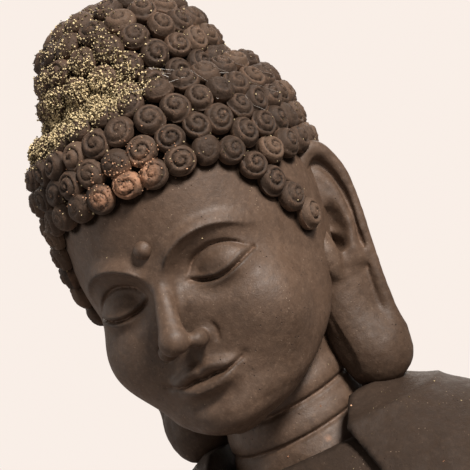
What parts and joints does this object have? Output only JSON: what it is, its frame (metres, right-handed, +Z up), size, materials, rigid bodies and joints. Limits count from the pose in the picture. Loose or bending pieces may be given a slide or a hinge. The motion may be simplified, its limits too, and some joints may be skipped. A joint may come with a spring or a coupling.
{
  "type": "buddha statue",
  "caption": "Seated robed Buddha in dark-finished hollow terracotta, hands in the lap, snail curls, long ears and an oval seat; stands free on its flat rim.",
  "frame": {"origin": "on the ground under the middle of the oval seat", "axes": "+Z up, the figure faces -Y, its left side at +X"},
  "size_m": [0.524, 0.344, 0.6986],
  "materials": {
    "skin": "matt dark brown over orange terracotta",
    "hair": "matt dark brown, worn to copper pink on the high spots",
    "robe": "matt dark brown",
    "mortar": "cement mortar",
    "steel": "stainless"
  },
  "bodies": {
    "root": {"face_shell": "skin", "skull_shell": "skin", "ushnisha_dome": "hair", "left_ear": "skin", "right_ear": "skin", "urna": "skin", "hairline_curls": "hair", "crown_curls": "hair", "nape_curls": "hair", "ushnisha_curls": "hair", "top_curl": "hair", "neck_column": "skin", "neck_dowel": "steel", "neck_grout": "mortar", "neck_mortar": "mortar", "chest_shell": "robe", "back_shell": "robe", "collar_band": "robe", "left_shoulder_drape": "robe", "right_shoulder_drape": "robe", "left_sleeve": "robe", "right_sleeve": "robe", "left_hand": "skin", "right_hand": "skin", "lap_shell": "robe", "robe_hem": "robe", "plinth": "robe", "waist_mortar": "mortar", "seat_mortar": "mortar"}
  },
  "joints": []
}
